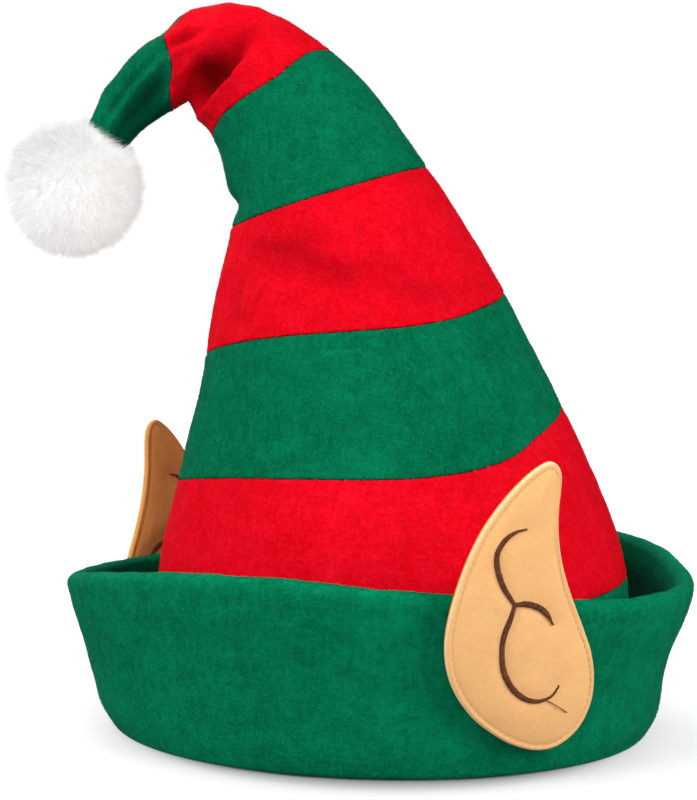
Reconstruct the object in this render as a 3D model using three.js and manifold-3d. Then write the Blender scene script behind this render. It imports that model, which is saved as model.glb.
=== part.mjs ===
// Elf hat: a striped plush cone whose peak bends over to a pompom, a turned-up cuff and two padded ears.
// Millimetres, +Z up. The rim lies on Z = 0, the front is -Y, and the peak falls towards -X.
import * as THREE from 'three';
import { mergeVertices } from 'three/addons/utils/BufferGeometryUtils.js';
import Module from 'manifold-3d';

const wasm = await Module();
wasm.setup();

// Driving sizes of the cone
const HEAD_OPENING = 190;
const PLUSH = 2.6;
const BEND_HEIGHT = 256.2;
const PEAK_REACH = 110.5;
const PEAK_LEAN = 12;
const SEAM_TUCK = 0.9;
const SEAM_ROLL = 1.6;

// Driving sizes of the cuff
const CUFF_HEIGHT = 72;
const CUFF_THICKNESS = 8.2;
const CUFF_FLARE = 14.5;

// Driving sizes of the ears
const EAR_WIDTH = 61.5;
const EAR_HEIGHT = 106;
const EAR_THICKNESS = 6.2;
const EAR_EDGE = 2.8;
const EAR_WRAP_RADIUS = 240;

// Driving sizes of the embroidered lines and the pompom
const STITCH_WIDTH = 2.4;
const STITCH_HEIGHT = 0.7;
const POMPOM_DIAMETER = 55;

// Gap left between pieces that touch
const CLEARANCE = 0.3;

const RIM_RADIUS = HEAD_OPENING / 2 + PLUSH;
const POMPOM_RADIUS = POMPOM_DIAMETER / 2;

// How finely the surfaces are faceted
const AROUND_CONE = 32;
const AROUND_CUFF = 46;
const AROUND_EAR = 32;

// Sections of the cone from the rim to the gathered end. Height, across and back place the centre, as
// shares of BEND_HEIGHT, PEAK_REACH (towards -X) and PEAK_LEAN (towards +Y). Half is the half width as a
// share of the rim's radius, and depth the half depth as a share of that. Turn tips the section towards
// -X and lean towards +Y, in degrees. Wave lifts it at the front left and drops it at the front right,
// as a share of the rim's radius.
const SECTIONS = [
  { name: 'rim', height: 0.000, across: 0.000, back: 0.00, half: 1.000,
    depth: 1.00, turn: 0, lean: 0, wave: 0 },
  { name: 'hem', height: 0.100, across: -0.014, back: 0.00, half: 0.979,
    depth: 1.00, turn: 1, lean: 0, wave: 0 },
  { name: 'first_seam', height: 0.211, across: -0.027, back: 0.00, half: 0.937,
    depth: 1.00, turn: 4, lean: 0, wave: 0.01 },
  { name: 'low_red', height: 0.312, across: 0.003, back: 0.00, half: 0.870,
    depth: 1.00, turn: 7, lean: -1, wave: 0.035 },
  { name: 'seam_1', height: 0.417, across: 0.043, back: 0.00, half: 0.767,
    depth: 1.00, turn: 10.5, lean: -1.5, wave: 0.05 },
  { name: 'low_green', height: 0.507, across: 0.073, back: 0.03, half: 0.691,
    depth: 1.00, turn: 11.2, lean: 1, wave: 0.04 },
  { name: 'seam_2', height: 0.598, across: 0.106, back: 0.08, half: 0.599,
    depth: 1.00, turn: 11.9, lean: 2.5, wave: 0.035 },
  { name: 'mid_red', height: 0.695, across: 0.159, back: 0.15, half: 0.504,
    depth: 1.01, turn: 14.5, lean: 3, wave: 0.018 },
  { name: 'seam_3', height: 0.788, across: 0.209, back: 0.25, half: 0.401,
    depth: 1.02, turn: 18.1, lean: 4, wave: 0 },
  { name: 'high_green', height: 0.879, across: 0.316, back: 0.42, half: 0.332,
    depth: 1.03, turn: 28.8, lean: 8, wave: 0 },
  { name: 'seam_4', height: 0.938, across: 0.416, back: 0.60, half: 0.282,
    depth: 1.04, turn: 37.6, lean: 11, wave: 0 },
  { name: 'bend_rise', height: 0.974, across: 0.508, back: 0.72, half: 0.263,
    depth: 1.04, turn: 48.2, lean: 9, wave: 0 },
  { name: 'bend_top', height: 1.000, across: 0.599, back: 0.83, half: 0.230,
    depth: 1.06, turn: 59.5, lean: 7, wave: 0 },
  { name: 'bend_fall', height: 0.997, across: 0.678, back: 0.90, half: 0.200,
    depth: 1.08, turn: 74.3, lean: 5, wave: 0 },
  { name: 'seam_5', height: 0.984, across: 0.749, back: 0.95, half: 0.184,
    depth: 1.06, turn: 85.5, lean: 4, wave: 0 },
  { name: 'tip_high', height: 0.955, across: 0.833, back: 0.98, half: 0.143,
    depth: 1.05, turn: 102.6, lean: 2, wave: 0 },
  { name: 'tip_low', height: 0.913, across: 0.923, back: 1.00, half: 0.110,
    depth: 1.02, turn: 123.3, lean: 0, wave: 0 },
  { name: 'tip_end', height: 0.867, across: 1.000, back: 1.00, half: 0.085,
    depth: 1.00, turn: 148.6, lean: 0, wave: 0 },
];

// Dents and folds of the cone. Station counts rows of SECTIONS, azimuth is in degrees round the section,
// length is in stations, breadth in degrees, and depth is a share of the section's half width.
const DENTS = [
  { name: 'crease_under_bend', station: 11.7, azimuth: -62, length: 0.50, breadth: 34, depth: 0.17 },
  { name: 'crease_to_crook',   station: 12.2, azimuth: -125, length: 0.50, breadth: 34, depth: 0.22 },
  { name: 'crease_behind',     station: 12.1, azimuth: 110, length: 0.55, breadth: 40, depth: 0.16 },
  { name: 'crook_kink',        station: 8.35, azimuth: 180, length: 0.22, breadth: 30, depth: 0.09 },
  { name: 'pinch_past_seam',   station: 14.45, azimuth: 0, length: 0.35, breadth: 38, depth: 0.16 },
  { name: 'dimple_left',       station: 6.9, azimuth: -146, length: 0.28, breadth: 15, depth: 0.04 },
  { name: 'hollow_middle',     station: 7.3, azimuth: -105, length: 0.25, breadth: 26, depth: 0.035 },
  { name: 'hollow_right',      station: 6.75, azimuth: -58, length: 0.25, breadth: 24, depth: 0.03 },
  { name: 'hollow_back',       station: 6.2, azimuth: 75, length: 0.60, breadth: 40, depth: 0.04 },
];

// Pleats that gather the drooping tip, deepest at its end
const PLEAT_COUNT = 6;
const PLEAT_DEPTH = 0.12;
const PLEAT_START = 13.6;

// Stripes between two rows of SECTIONS, with the facet steps of each row outside and inside
const STRIPES = [
  { name: 'head_band',     from: 'rim',        to: 'first_seam', colour: 'green', outside: 2, inside: 1 },
  { name: 'band_1_red',    from: 'first_seam', to: 'seam_1',     colour: 'red',   outside: 2, inside: 1 },
  { name: 'band_2_green',  from: 'seam_1',     to: 'seam_2',     colour: 'green', outside: 2, inside: 1 },
  { name: 'band_3_red',    from: 'seam_2',     to: 'seam_3',     colour: 'red',   outside: 3, inside: 2 },
  { name: 'band_4_green',  from: 'seam_3',     to: 'seam_4',     colour: 'green', outside: 2, inside: 2 },
  { name: 'band_5_red',    from: 'seam_4',     to: 'seam_5',     colour: 'red',   outside: 2, inside: 2 },
];
const TIP = { name: 'tip_green', from: 'seam_5', to: 'tip_end', outside: 2, inside: 1 };

// The cuff's course every 30 degrees from azimuth 0: rise is a share of CUFF_HEIGHT, reach of CUFF_FLARE
const CUFF_COURSE = [
  { rise: 0.835, reach: 0.95 },
  { rise: 0.900, reach: 0.95 },
  { rise: 0.935, reach: 0.93 },
  { rise: 0.870, reach: 0.92 },
  { rise: 0.790, reach: 0.95 },
  { rise: 0.752, reach: 1.00 },
  { rise: 0.792, reach: 1.02 },
  { rise: 0.905, reach: 1.00 },
  { rise: 0.996, reach: 0.95 },
  { rise: 0.967, reach: 0.90 },
  { rise: 0.896, reach: 0.93 },
  { rise: 0.846, reach: 0.94 },
];

// The cuff's outer wall from its foot upwards: height is a share of the local rise, flare of its reach
const CUFF_WALL = [
  { height: 0.14, flare: 0.13 },
  { height: 0.32, flare: 0.29 },
  { height: 0.50, flare: 0.48 },
  { height: 0.68, flare: 0.72 },
  { height: 0.84, flare: 0.94 },
];

// An ear's outline seen from outside, clockwise from its tip: side is a share of EAR_WIDTH from the
// middle, up is a share of EAR_HEIGHT from the foot
const EAR_OUTLINE = [
  { side:  0.017, up: 1.000 },
  { side:  0.111, up: 0.955 },
  { side:  0.126, up: 0.808 },
  { side:  0.214, up: 0.618 },
  { side:  0.422, up: 0.391 },
  { side:  0.498, up: 0.215 },
  { side:  0.420, up: 0.068 },
  { side:  0.162, up: 0.000 },
  { side: -0.141, up: 0.072 },
  { side: -0.400, up: 0.235 },
  { side: -0.506, up: 0.435 },
  { side: -0.417, up: 0.692 },
  { side: -0.240, up: 0.891 },
  { side: -0.075, up: 0.985 },
];
const EAR_CENTRE = { side: -0.03, up: 0.40 };

// Where each ear is sewn on: foot is its height off the floor and curl is how far its tip bends in
// towards the cone, both as shares of EAR_HEIGHT. Azimuth and lean, out from upright, are in degrees.
const EARS = [
  { name: 'near_ear', azimuth: -67, lean: 12, foot: 0.105, curl: 0.02 },
  { name: 'far_ear', azimuth: 136, lean: 10, foot: 0.035, curl: 0.06 },
];
const CURL_START = 0.45;

// Shares of the way from an ear's centre to its outline where the padded face has a ring
const EAR_RINGS = [0.22, 0.46, 0.7, 0.88, 1];

// Embroidered lines on an ear, with the same shares as its outline; all three meet at one point
const EAR_LINES = {
  upper: [
    { side: -0.079, up: 0.521 },
    { side: -0.205, up: 0.603 },
    { side: -0.237, up: 0.667 },
    { side: -0.195, up: 0.745 },
    { side: -0.074, up: 0.776 },
  ],
  branch: [
    { side: -0.079, up: 0.521 },
    { side:  0.068, up: 0.505 },
    { side:  0.178, up: 0.443 },
  ],
  lower: [
    { side: -0.079, up: 0.521 },
    { side: -0.129, up: 0.364 },
    { side: -0.080, up: 0.270 },
    { side:  0.120, up: 0.167 },
    { side:  0.271, up: 0.216 },
  ],
};

// Locks of the pompom: how many, and their sizes as shares of its radius
const LOCK_COUNT = 38;
const LOCK_FOOT = 0.36;
const LOCK_END = 0.16;
const POMPOM_CORE = 0.75;
const LOCK_SIDES = 5;

// Colours of the cloth, the ears, the embroidery and the pompom
const MATERIALS = {
  green: { color: 0x06704a, roughness: 0.92 },
  red: { color: 0xd8091f, roughness: 0.90 },
  suede: { color: 0xf6c189, roughness: 0.85 },
  thread: { color: 0x5a2a12, roughness: 0.55 },
  fur: { color: 0xf7f5f1, roughness: 0.95 },
};

// Smooth curve between b and c, with a and d as its neighbours
function curveBetween(a, b, c, d, t) {
  const pull = (c - a) * t;
  const bow = (2 * a - 5 * b + 4 * c - d) * t * t;
  const turn = (3 * b - a - 3 * c + d) * t * t * t;
  return 0.5 * (2 * b + pull + bow + turn);
}

// A row's columns at a place between rows; a round table goes on from its last row to its first
function rowAt(table, place, round = false) {
  const last = table.length - 1;
  const start = round ? Math.floor(place) : Math.min(Math.floor(place), last - 1);
  const wrapped = (i) => THREE.MathUtils.euclideanModulo(i, table.length);
  const pick = (i) => table[round ? wrapped(i) : THREE.MathUtils.clamp(i, 0, last)];
  const [a, b, c, d] = [pick(start - 1), pick(start), pick(start + 1), pick(start + 2)];
  const row = {};
  for (const key of Object.keys(b).filter((name) => name !== 'name')) {
    row[key] = curveBetween(a[key], b[key], c[key], d[key], place - start);
  }
  return row;
}

// A closed surface through rings of equal length. Without end points the last ring joins the first,
// and with them each end is closed by a fan to its point.
function skin(rings, firstPoint = null, lastPoint = null) {
  const count = rings[0].length;
  const points = rings.flat();
  const triangles = [];
  const bands = firstPoint ? rings.length - 1 : rings.length;
  for (let band = 0; band < bands; band += 1) {
    const low = band * count;
    const high = ((band + 1) % rings.length) * count;
    for (let i = 0; i < count; i += 1) {
      const j = (i + 1) % count;
      triangles.push(low + i, low + j, high + j, low + i, high + j, high + i);
    }
  }
  if (firstPoint) {
    const first = points.push(firstPoint) - 1;
    const last = points.push(lastPoint) - 1;
    const end = (rings.length - 1) * count;
    for (let i = 0; i < count; i += 1) {
      const j = (i + 1) % count;
      triangles.push(first, j, i, last, end + i, end + j);
    }
  }
  return outwardGeometry(points, triangles);
}

// A geometry from points and triangles, with its faces turned outwards
function outwardGeometry(points, triangles) {
  let volume = 0;
  for (let i = 0; i < triangles.length; i += 3) {
    const [a, b, c] = [points[triangles[i]], points[triangles[i + 1]], points[triangles[i + 2]]];
    volume += a.dot(b.clone().cross(c));
  }
  const order = volume < 0 ? triangles.slice().reverse() : triangles;
  const geometry = new THREE.BufferGeometry().setFromPoints(points);
  geometry.setIndex(order);
  geometry.computeVertexNormals();
  return geometry;
}

function toSolid(geometry) {
  const bare = geometry.clone();
  bare.deleteAttribute('normal');
  bare.deleteAttribute('uv');
  const merged = mergeVertices(bare);
  return new wasm.Manifold(new wasm.Mesh({
    numProp: 3,
    vertProperties: new Float32Array(merged.attributes.position.array),
    triVerts: new Uint32Array(merged.index.array),
  }));
}

function toGeometry(solid) {
  const mesh = solid.getMesh();
  const geometry = new THREE.BufferGeometry();
  geometry.setAttribute('position', new THREE.BufferAttribute(new Float32Array(mesh.vertProperties), 3));
  geometry.setIndex(Array.from(mesh.triVerts));
  geometry.computeVertexNormals();
  return geometry;
}

function namedMesh(name, geometry, material) {
  const cloth = new THREE.MeshStandardMaterial({ ...MATERIALS[material], metalness: 0 });
  const mesh = new THREE.Mesh(geometry, cloth);
  mesh.name = name;
  return mesh;
}

// Centre, directions and half sizes of the cone's section at a station
function sectionAt(station) {
  const row = rowAt(SECTIONS, station);
  const turn = THREE.MathUtils.degToRad(row.turn);
  const lean = THREE.MathUtils.degToRad(row.lean);
  const side = new THREE.Vector3(Math.cos(turn), 0, Math.sin(turn));
  const upright = new THREE.Vector3(-Math.sin(turn), 0, Math.cos(turn));
  const back = new THREE.Vector3(0, 1, 0);
  const half = row.half * RIM_RADIUS;
  return {
    centre: new THREE.Vector3(-row.across * PEAK_REACH, row.back * PEAK_LEAN, row.height * BEND_HEIGHT),
    side,
    depth: back.clone().multiplyScalar(Math.cos(lean)).addScaledVector(upright, -Math.sin(lean)),
    along: upright.clone().multiplyScalar(Math.cos(lean)).addScaledVector(back, Math.sin(lean)),
    half,
    halfDepth: half * row.depth,
    wave: row.wave * RIM_RADIUS,
  };
}

// How far the cloth is pushed in at a place on the cone, as a share of the half width
function dentAt(station, azimuth) {
  let share = 0;
  for (const dent of DENTS) {
    const apart = THREE.MathUtils.euclideanModulo(azimuth - dent.azimuth + 180, 360) - 180;
    const away = ((station - dent.station) / dent.length) ** 2 + (apart / dent.breadth) ** 2;
    share += dent.depth * Math.exp(-away);
  }
  const gathered = Math.max(0, (station - PLEAT_START) / (SECTIONS.length - 1 - PLEAT_START));
  const wave = (1 + Math.cos(THREE.MathUtils.degToRad(azimuth * PLEAT_COUNT))) / 2;
  return share + PLEAT_DEPTH * gathered * wave;
}

// A ring of points on the cone, moved in by inset and along the cone by shift
function coneRing(station, inset, shift = 0) {
  const section = sectionAt(station);
  const ring = [];
  for (let i = 0; i < AROUND_CONE; i += 1) {
    const azimuth = (i * 360) / AROUND_CONE;
    const angle = THREE.MathUtils.degToRad(azimuth);
    const dent = 1 - dentAt(station, azimuth);
    ring.push(section.centre.clone()
      .addScaledVector(section.side, Math.cos(angle) * (section.half * dent - inset))
      .addScaledVector(section.depth, Math.sin(angle) * (section.halfDepth * dent - inset))
      .addScaledVector(section.along, shift + section.wave * Math.sin(2 * angle)));
  }
  return ring;
}

function stationOf(name) {
  return SECTIONS.findIndex((row) => row.name === name);
}

// Stations from one row to another, with a number of steps to each row
function stationsBetween(from, to, steps) {
  const count = (to - from) * steps;
  return Array.from({ length: count + 1 }, (unused, i) => from + (i * (to - from)) / count);
}

// Rings up the outside of a stripe, rolled in at its seams; the rim's own edge stays flat
function outsideRings(stripe) {
  const from = stationOf(stripe.from);
  const to = stationOf(stripe.to);
  const stations = stationsBetween(from, to, stripe.outside).slice(1, -1);
  const gap = CLEARANCE / 2;
  const atRim = from === 0;
  const foot = atRim ? [coneRing(from, 0)] : [coneRing(from, SEAM_TUCK, gap), coneRing(from, 0, SEAM_ROLL)];
  const top = [coneRing(to, 0, -SEAM_ROLL), coneRing(to, SEAM_TUCK, -gap)];
  return [...foot, ...stations.map((station) => coneRing(station, 0)), ...top];
}

// Rings up the inside of a stripe
function insideRings(stripe, endShift) {
  const from = stationOf(stripe.from);
  const to = stationOf(stripe.to);
  const stations = stationsBetween(from, to, stripe.inside).slice(1, -1);
  const footShift = from === 0 ? 0 : CLEARANCE / 2;
  return [
    coneRing(from, PLUSH, footShift),
    ...stations.map((station) => coneRing(station, PLUSH)),
    coneRing(to, PLUSH, endShift),
  ];
}

function stripeMesh(stripe) {
  const inside = insideRings(stripe, -CLEARANCE / 2);
  return namedMesh(stripe.name, skin([...outsideRings(stripe), ...inside.reverse()]), stripe.colour);
}

// The tip is a cup whose closed end goes into the pompom
function tipMesh() {
  const end = sectionAt(stationOf(TIP.to));
  const inside = insideRings(TIP, -2 * PLUSH);
  const outside = outsideRings(TIP);
  const innerPoint = end.centre.clone().addScaledVector(end.along, -2 * PLUSH);
  return namedMesh(TIP.name, skin([...inside.reverse(), ...outside], innerPoint, end.centre), 'green');
}

// The cuff's section at an azimuth, as points of radius and height: its flat foot, the flaring outer
// wall, the rolled edge and the inner wall back down beside the head band
function cuffProfile(azimuth) {
  const course = rowAt(CUFF_COURSE, azimuth / 30, true);
  const rise = course.rise * CUFF_HEIGHT;
  const reach = course.reach * CUFF_FLARE;
  const roll = CUFF_THICKNESS / 2;
  const inner = RIM_RADIUS + CLEARANCE;
  const outer = inner + CUFF_THICKNESS;
  const profile = [[inner, 0], [outer - roll, 0]];
  for (const angle of [-50, -15]) {
    const turn = THREE.MathUtils.degToRad(angle);
    profile.push([outer - roll + roll * Math.cos(turn), roll + roll * Math.sin(turn)]);
  }
  for (const row of CUFF_WALL) {
    profile.push([outer + row.flare * reach, row.height * rise]);
  }
  for (const angle of [0, 45, 90, 135, 180]) {
    const turn = THREE.MathUtils.degToRad(angle);
    profile.push([outer + reach - roll + roll * Math.cos(turn), rise - roll + roll * Math.sin(turn)]);
  }
  for (const row of CUFF_WALL.slice(0, -1).reverse()) {
    profile.push([inner + row.flare * reach, row.height * rise]);
  }
  return profile;
}

function cuffMesh() {
  const rings = [];
  for (let i = 0; i < AROUND_CUFF; i += 1) {
    const azimuth = (i * 360) / AROUND_CUFF;
    const turn = THREE.MathUtils.degToRad(azimuth);
    rings.push(cuffProfile(azimuth).map(([radius, height]) => (
      new THREE.Vector3(radius * Math.cos(turn), radius * Math.sin(turn), height))));
  }
  return namedMesh('cuff', skin(rings), 'green');
}

// A place on an ear's sheet in its own frame: X to the side, Y up, Z outwards. The sheet wraps round
// the cuff a little, and its tip curls in.
function earPoint(ear, side, up, outwards) {
  const curled = Math.max(0, up / EAR_HEIGHT - CURL_START) / (1 - CURL_START);
  const bent = ear.curl * EAR_HEIGHT * curled ** 2 + (side * side) / (2 * EAR_WRAP_RADIUS);
  return new THREE.Vector3(side, up, outwards - bent);
}

const earCentre = new THREE.Vector2(EAR_CENTRE.side * EAR_WIDTH, EAR_CENTRE.up * EAR_HEIGHT);

function earOutline() {
  const outline = [];
  for (let i = 0; i < AROUND_EAR; i += 1) {
    const row = rowAt(EAR_OUTLINE, (i * EAR_OUTLINE.length) / AROUND_EAR, true);
    outline.push(new THREE.Vector2(row.side * EAR_WIDTH, row.up * EAR_HEIGHT));
  }
  return outline;
}

// Half the padding's thickness at a share of the way from the ear's centre to its outline
function earHalfThickness(share) {
  return (EAR_EDGE + (EAR_THICKNESS - EAR_EDGE) * (1 - share ** 4)) / 2;
}

// The share of the way to the outline at a place on the ear
function earShare(place) {
  const ray = place.clone().sub(earCentre);
  const outline = earOutline();
  let share = 0;
  outline.forEach((corner, i) => {
    const a = corner.clone().sub(earCentre);
    const b = outline[(i + 1) % outline.length].clone().sub(earCentre);
    const edge = b.clone().sub(a);
    const cross = ray.cross(edge);
    const alongEdge = a.cross(ray) / cross;
    if (alongEdge >= 0 && alongEdge <= 1 && a.cross(edge) / cross > 0) {
      share = cross / a.cross(edge);
    }
  });
  return share;
}

function earGeometry(ear) {
  const outline = earOutline();
  const ringAt = (share, face) => outline.map((corner) => {
    const place = earCentre.clone().lerp(corner, share);
    return earPoint(ear, place.x, place.y, face * earHalfThickness(share));
  });
  const front = EAR_RINGS.map((share) => ringAt(share, 1));
  const back = EAR_RINGS.map((share) => ringAt(share, -1)).reverse();
  const centre = (face) => earPoint(ear, earCentre.x, earCentre.y, face * earHalfThickness(0));
  return skin([...front, ...back], centre(1), centre(-1));
}

function middleOf(points) {
  return points.reduce((sum, point) => sum.add(point), new THREE.Vector3()).divideScalar(points.length);
}

// A raised line of satin stitches over an ear's face (1 outside, -1 inside), tapering to its free end
function stitchedLine(ear, rows, face) {
  const route = new THREE.CatmullRomCurve3(rows.map((row) => (
    new THREE.Vector3(row.side * EAR_WIDTH, row.up * EAR_HEIGHT, 0))));
  const steps = 2 * rows.length;
  const sections = [];
  for (let i = 0; i <= steps; i += 1) {
    const t = i / steps;
    const place = route.getPointAt(t);
    const ahead = route.getTangentAt(t);
    const half = (STITCH_WIDTH / 2) * Math.sqrt(1 - 0.96 * t ** 4);
    const lift = earHalfThickness(earShare(new THREE.Vector2(place.x, place.y))) + CLEARANCE;
    const crown = STITCH_HEIGHT * (half / (STITCH_WIDTH / 2));
    const section = [[-1, 0], [-0.6, 0.75], [0, 1], [0.6, 0.75], [1, 0]];
    sections.push(section.map(([across, high]) => earPoint(
      ear,
      place.x - ahead.y * across * half,
      place.y + ahead.x * across * half,
      face * (lift + high * crown),
    )));
  }
  return skin(sections, middleOf(sections[0]), middleOf(sections[steps]));
}

function embroideryGeometry(ear, face) {
  const lines = Object.values(EAR_LINES).map((rows) => toSolid(stitchedLine(ear, rows, face)));
  return toGeometry(lines.reduce((joined, line) => joined.add(line)));
}

// An ear and its embroidery, seated on the cuff's rolled edge and leaning out with it
function earGroup(ear) {
  const lean = THREE.MathUtils.degToRad(ear.lean);
  const foot = ear.foot * EAR_HEIGHT;
  const reaches = cuffProfile(ear.azimuth).map(([radius, height]) => (
    radius * Math.cos(lean) - height * Math.sin(lean)));
  const standOff = Math.max(...reaches) + EAR_THICKNESS / 2 + STITCH_HEIGHT + 2 * CLEARANCE;
  const group = new THREE.Group();
  group.add(
    namedMesh(ear.name, earGeometry(ear), 'suede'),
    namedMesh(`${ear.name}_stitching_outside`, embroideryGeometry(ear, 1), 'thread'),
    namedMesh(`${ear.name}_stitching_inside`, embroideryGeometry(ear, -1), 'thread'),
  );
  group.position.set(0, -(standOff + foot * Math.sin(lean)) / Math.cos(lean), foot);
  group.rotation.x = Math.PI / 2 + lean;
  const turned = new THREE.Group();
  turned.rotation.z = THREE.MathUtils.degToRad(ear.azimuth + 90);
  turned.add(group);
  return turned;
}

// The pompom: locks fused to a ball, with a socket for the end of the tip
function pompomMesh() {
  const end = sectionAt(stationOf(TIP.to));
  const core = POMPOM_CORE * POMPOM_RADIUS;
  const centre = end.centre.clone().addScaledVector(end.along, core + CLEARANCE);
  const ball = new THREE.IcosahedronGeometry(core, 2);
  let solid = toSolid(ball);
  const golden = Math.PI * (3 - Math.sqrt(5));
  for (let i = 0; i < LOCK_COUNT; i += 1) {
    const rise = 1 - (2 * i + 1) / LOCK_COUNT;
    const flat = Math.sqrt(1 - rise * rise);
    const direction = new THREE.Vector3(flat * Math.cos(i * golden), flat * Math.sin(i * golden), rise);
    const foot = 0.6 * POMPOM_RADIUS;
    const length = POMPOM_RADIUS - foot;
    const lock = new THREE.CylinderGeometry(
      LOCK_END * POMPOM_RADIUS, LOCK_FOOT * POMPOM_RADIUS, length, LOCK_SIDES);
    lock.applyQuaternion(new THREE.Quaternion().setFromUnitVectors(new THREE.Vector3(0, 1, 0), direction));
    lock.translate(...direction.multiplyScalar(foot + length / 2).toArray());
    solid = solid.add(toSolid(lock));
  }
  const geometry = toGeometry(solid).translate(...centre.toArray());
  const socket = stationsBetween(stationOf('tip_high'), stationOf(TIP.to), 3)
    .map((station) => coneRing(station, -CLEARANCE));
  socket.push(coneRing(stationOf(TIP.to), -CLEARANCE, CLEARANCE));
  const first = sectionAt(stationOf('tip_high')).centre;
  const last = end.centre.clone().addScaledVector(end.along, CLEARANCE);
  const open = toSolid(geometry).subtract(toSolid(skin(socket, first, last)));
  return namedMesh('pompom', toGeometry(open), 'fur');
}

const hat = new THREE.Group();
hat.add(
  cuffMesh(),
  ...STRIPES.map(stripeMesh),
  tipMesh(),
  pompomMesh(),
  ...EARS.map(earGroup),
);

// The origin is the middle of the whole hat's footprint, on the surface that it rests on
hat.updateMatrixWorld(true);
const bounds = new THREE.Box3().setFromObject(hat, true);
const middle = bounds.getCenter(new THREE.Vector3());
hat.position.set(-middle.x, -middle.y, -bounds.min.z);

export default hat;
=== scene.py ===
"""Looks of the elf hat: plush cone and cuff, padded ears with satin-stitched lines, and a fur pompom.

Lengths are in millimetres in the hat's own frame until piece() turns them into metres in the row frame.
"""

import math

import bpy
import numpy as np
from mathutils import Matrix


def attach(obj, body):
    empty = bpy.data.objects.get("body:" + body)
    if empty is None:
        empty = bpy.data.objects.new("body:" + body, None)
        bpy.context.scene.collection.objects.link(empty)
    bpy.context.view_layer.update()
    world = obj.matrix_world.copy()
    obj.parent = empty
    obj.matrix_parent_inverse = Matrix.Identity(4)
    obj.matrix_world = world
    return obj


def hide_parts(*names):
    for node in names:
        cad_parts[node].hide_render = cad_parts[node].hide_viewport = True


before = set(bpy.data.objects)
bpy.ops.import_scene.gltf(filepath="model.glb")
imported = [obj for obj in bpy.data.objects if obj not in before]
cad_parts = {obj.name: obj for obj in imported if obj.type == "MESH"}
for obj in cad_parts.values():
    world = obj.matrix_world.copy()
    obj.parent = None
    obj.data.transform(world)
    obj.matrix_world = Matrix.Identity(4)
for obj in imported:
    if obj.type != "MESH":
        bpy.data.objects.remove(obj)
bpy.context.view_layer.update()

# The middle of the cuff's ring in the row frame
SHIFT = np.array([14.654, 4.785, 0.0])

# Driving sizes, as in the part's source
RIM_RADIUS = 97.6
PLUSH = 2.6
BEND_HEIGHT = 256.2
PEAK_REACH = 110.5
PEAK_LEAN = 12.0
CLEARANCE = 0.3
CUFF_HEIGHT = 72.0
CUFF_THICKNESS = 8.2
CUFF_FLARE = 14.5
EAR_WIDTH = 61.5
EAR_HEIGHT = 106.0
EAR_THICKNESS = 6.2
EAR_EDGE = 2.8
EAR_WRAP_RADIUS = 240.0
STITCH_WIDTH = 2.4
STITCH_HEIGHT = 0.7
POMPOM_RADIUS = 27.5
POMPOM_CORE = 0.75
CURL_START = 0.45

# Sections of the cone from the rim to the gathered end:
# height, across, back, half, depth, turn, lean, wave
SECTIONS = np.array([
    (0.000, 0.000, 0.00, 1.000, 1.00, 0, 0, 0),
    (0.100, -0.014, 0.00, 0.979, 1.00, 1, 0, 0),
    (0.211, -0.027, 0.00, 0.937, 1.00, 4, 0, 0.01),
    (0.312, 0.003, 0.00, 0.870, 1.00, 7, -1, 0.035),
    (0.417, 0.043, 0.00, 0.767, 1.00, 10.5, -1.5, 0.05),
    (0.507, 0.073, 0.03, 0.691, 1.00, 11.2, 1, 0.04),
    (0.598, 0.106, 0.08, 0.599, 1.00, 11.9, 2.5, 0.035),
    (0.695, 0.159, 0.15, 0.504, 1.01, 14.5, 3, 0.018),
    (0.788, 0.209, 0.25, 0.401, 1.02, 18.1, 4, 0),
    (0.879, 0.316, 0.42, 0.332, 1.03, 28.8, 8, 0),
    (0.938, 0.416, 0.60, 0.282, 1.04, 37.6, 11, 0),
    (0.974, 0.508, 0.72, 0.263, 1.04, 48.2, 9, 0),
    (1.000, 0.599, 0.83, 0.230, 1.06, 59.5, 7, 0),
    (0.997, 0.678, 0.90, 0.200, 1.08, 74.3, 5, 0),
    (0.984, 0.749, 0.95, 0.184, 1.06, 85.5, 4, 0),
    (0.955, 0.833, 0.98, 0.143, 1.05, 102.6, 2, 0),
    (0.913, 0.923, 1.00, 0.110, 1.02, 123.3, 0, 0),
    (0.867, 1.000, 1.00, 0.085, 1.00, 148.6, 0, 0),
])
LAST_STATION = len(SECTIONS) - 1

# Broad dents: station, azimuth, length in stations, breadth in degrees, depth as a share of the half width
DENTS = [
    (11.7, -62, 0.50, 34, 0.07),
    (12.2, -125, 0.50, 34, 0.08),
    (12.1, 110, 0.55, 40, 0.16),
    (8.35, 180, 0.22, 30, 0.09),
    (14.45, 0, 0.35, 38, 0.16),
    (6.9, -146, 0.28, 15, 0.04),
    (7.3, -105, 0.25, 26, 0.035),
    (6.75, -58, 0.25, 24, 0.03),
    (6.2, 75, 0.60, 40, 0.04),
]
PLEATS = (6, 0.12, 13.6)

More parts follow.
